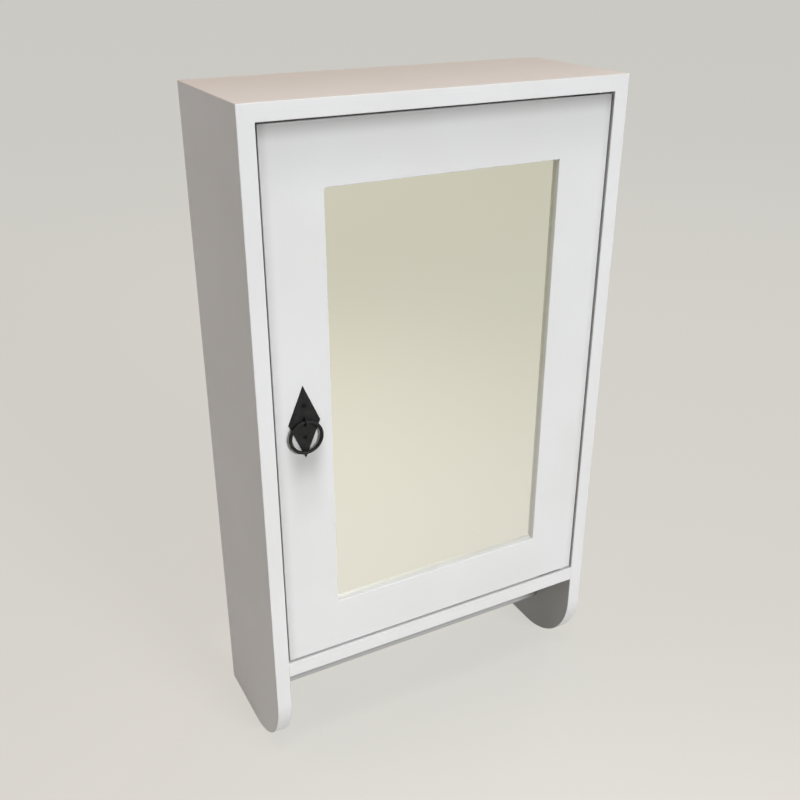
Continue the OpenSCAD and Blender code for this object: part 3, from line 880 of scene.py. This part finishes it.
# Back, hanging rail, stop and beads
# The rest of the painted wood: a thin panel screwed into the rebate at the back, the rail
# under the top that hangs on the wall screws, the strip that stops the door, and the four
# pinned beads behind the mirror.
upright_paint = satin_paint("paint_brushed_upright", brushed_upright)


def coat(finish, *names):
    """Gives pieces that keep the construction's own shape their material."""
    for name in names:
        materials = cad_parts[name].data.materials
        materials.clear()
        materials.append(finish)


coat(upright_paint, "back_panel", "left_bead", "right_bead")
coat(level_paint, "hanging_rail", "stop_strip", "top_bead", "bottom_bead")

# Steel parts
# Zinc plated steel: the pivot hinges and their screws, the back's screws, the shelf
# pins, the bead pins, and the catch's poles and strike plate.
zinc_tones = tone(176, 178, 180), tone(200, 202, 204)


def speckled(name, patches, tones, gloss, depth, detail=2.0, metallic=0.0):
    """A plain material whose colour, gloss and height follow one fine noise."""
    finish = Finish(name)
    grain = finish.noise(patches, detail=detail)
    return finish.surface(
        Base_Color=finish.blend(grain, *tones),
        Metallic=metallic,
        Roughness=finish.vary(grain, *gloss),
        Normal=finish.relief(grain, depth),
    )


zinc_plate = speckled("zinc_plate", 500.0, zinc_tones, (0.28, 0.42), 0.00001, metallic=1.0)
coat(zinc_plate, "upper_frame_leaf", "lower_frame_leaf", "upper_door_leaf", "lower_door_leaf")
coat(zinc_plate, "upper_pivot_pin", "lower_pivot_pin", "frame_leaf_screws", "door_leaf_screws")
coat(zinc_plate, "back_panel_screws", "shelf_pins", "bead_pins")
coat(zinc_plate, "catch_poles", "catch_screws", "strike_plate", "strike_screw")

# Catch and small trim
# A white moulded housing with a ferrite magnet, a nylon thrust washer and two soft
# rubber bumpers.
plastic_tones = tone(226, 226, 222), tone(232, 232, 229)
ferrite_tones = tone(44, 44, 46), tone(66, 66, 69)
rubber_tones = tone(196, 195, 190), tone(210, 209, 204)
moulded_plastic = speckled("moulded_plastic", 1500.0, plastic_tones, (0.38, 0.5), 0.00002, detail=1.0)
ferrite = speckled("ferrite", 1800.0, ferrite_tones, (0.55, 0.75), 0.00003)
soft_rubber = speckled("soft_rubber", 600.0, rubber_tones, (0.6, 0.75), 0.00002)
coat(moulded_plastic, "catch_housing", "thrust_washer")
coat(ferrite, "catch_magnet")
coat(soft_rubber, "stop_bumpers")

# Dowels and the board behind the mirror
# Beech dowels, which the joints hide, and the sheet of brown hardboard that keeps the
# mirror's silver from scratches.
beech = Finish("beech")
fibre = beech.noise(1.0, (60, 900, 900), 3.0)
beech_wood = beech.surface(
    Base_Color=beech.blend(beech.vary(fibre), tone(186, 146, 104), tone(212, 178, 136)),
    Roughness=0.6,
    Normal=beech.relief(fibre, 0.00005),
)
hard = Finish("hardboard")
felt = hard.noise(900.0, detail=4.0)
hardboard = hard.surface(
    Base_Color=hard.blend(hard.vary(felt), tone(96, 66, 44), tone(128, 92, 64)),
    Roughness=hard.vary(felt, 0.5, 0.7),
    Normal=hard.relief(felt, 0.00004),
)
coat(beech_wood, "carcass_dowels")
coat(hardboard, "mirror_backing")

# Floor and light
# The cabinet stands on the flat feet of its wings on a pale floor. Soft white light comes
# from the front, the left and behind, warmer light comes from overhead, and one more
# lamp lights the floor in front.
floor_drop = 0.0004
floor_r = 45.0
floor_steps = 96
floor_tone = tone(160, 157, 152)
floor_glow = tone(248, 246, 239)
glow_share = 0.62
backdrop_tone = tone(206, 203, 197)

bpy.ops.object.select_all(action="DESELECT")
bpy.ops.mesh.primitive_circle_add(
    vertices=floor_steps,
    radius=floor_r,
    fill_type="NGON",
    location=(0, 0, model_box[0].z - floor_drop),
)
floor = bpy.context.object
floor.name = "floor"
floor_finish = Finish("floor")
matt = floor_finish.node("ShaderNodeBsdfDiffuse", sockets={"Color": floor_tone})
glow = floor_finish.node("ShaderNodeEmission", sockets={"Color": floor_glow, "Strength": 1.0})


def seen_directly(finish):
    """1 for what the camera sees, also in the mirror and in polished metal."""
    camera_ray = finish.node("ShaderNodeLightPath", output="Is Camera Ray")
    glossy_ray = finish.node("ShaderNodeLightPath", output="Is Glossy Ray")
    return camera_ray + glossy_ray


floor_mix = {0: seen_directly(floor_finish) * glow_share, 1: matt, 2: glow}
floor_finish.show(floor_finish.node("ShaderNodeMixShader", sockets=floor_mix))
floor.data.materials.append(floor_finish.material)


class Air(Finish):
    """The world round the cabinet, in the making."""

    last_node = "ShaderNodeOutputWorld"

    def __init__(self, world):
        world.use_nodes = True
        self.tree = world.node_tree
        self.tree.nodes.clear()


ambient = {"Color": (1.0, 0.98, 0.96, 1.0), "Strength": 0.10}
backdrop = {"Color": backdrop_tone, "Strength": 1.0}
studio = bpy.data.worlds.new("studio")
bpy.context.scene.world = studio
air = Air(studio)
around = air.node("ShaderNodeBackground", sockets=ambient)
behind = air.node("ShaderNodeBackground", sockets=backdrop)
air_mix = {0: seen_directly(air), 1: around, 2: behind}
air.show(air.node("ShaderNodeMixShader", sockets=air_mix))


def add_softbox(name, place, aim, width, height, power, colour, spread=math.pi):
    """An oblong lamp at a place, turned to a point."""
    turn = (Vector(aim) - Vector(place)).to_track_quat("-Z", "Y").to_euler()
    bpy.ops.object.light_add(type="AREA", location=place, rotation=turn)
    lamp = bpy.context.object
    lamp.name = name
    lamp.data.shape = "RECTANGLE"
    lamp.data.size = width
    lamp.data.size_y = height
    lamp.data.energy = power
    lamp.data.color = colour
    lamp.data.spread = spread


cabinet_mid = (model_box[0] + model_box[1]) / 2
floor_before = Vector((-0.15, -1.0, model_box[0].z))
add_softbox(
    "front_light",
    place=(1.25, -5.6, 1.97),
    aim=cabinet_mid,
    width=2.0,
    height=0.9,
    power=84,
    colour=(0.945, 0.97, 1.0),
    spread=math.radians(100),
)
add_softbox(
    "upper_light",
    place=(-0.3, 0.5, 2.25),
    aim=(-0.1, -0.05, 0),
    width=1.6,
    height=0.6,
    power=10.9,
    colour=(1.0, 0.43, 0.03),
)
add_softbox(
    "left_light",
    place=(-1.9, 1.0, 0.8),
    aim=cabinet_mid,
    width=1.6,
    height=1.6,
    power=13.2,
    colour=(1.0, 0.98, 0.99),
)
add_softbox(
    "rear_light",
    place=(5.0, 3.2, 1.4),
    aim=cabinet_mid,
    width=2.0,
    height=1.2,
    power=7,
    colour=(1.0, 0.98, 0.95),
    spread=math.radians(45),
)
add_softbox(
    "floor_light",
    place=(-0.15, -1.0, 1.6),
    aim=floor_before,
    width=0.8,
    height=0.8,
    power=6.2,
    colour=(1.0, 0.98, 0.97),
    spread=math.radians(50),
)

bpy.context.scene.view_settings.view_transform = "Standard"
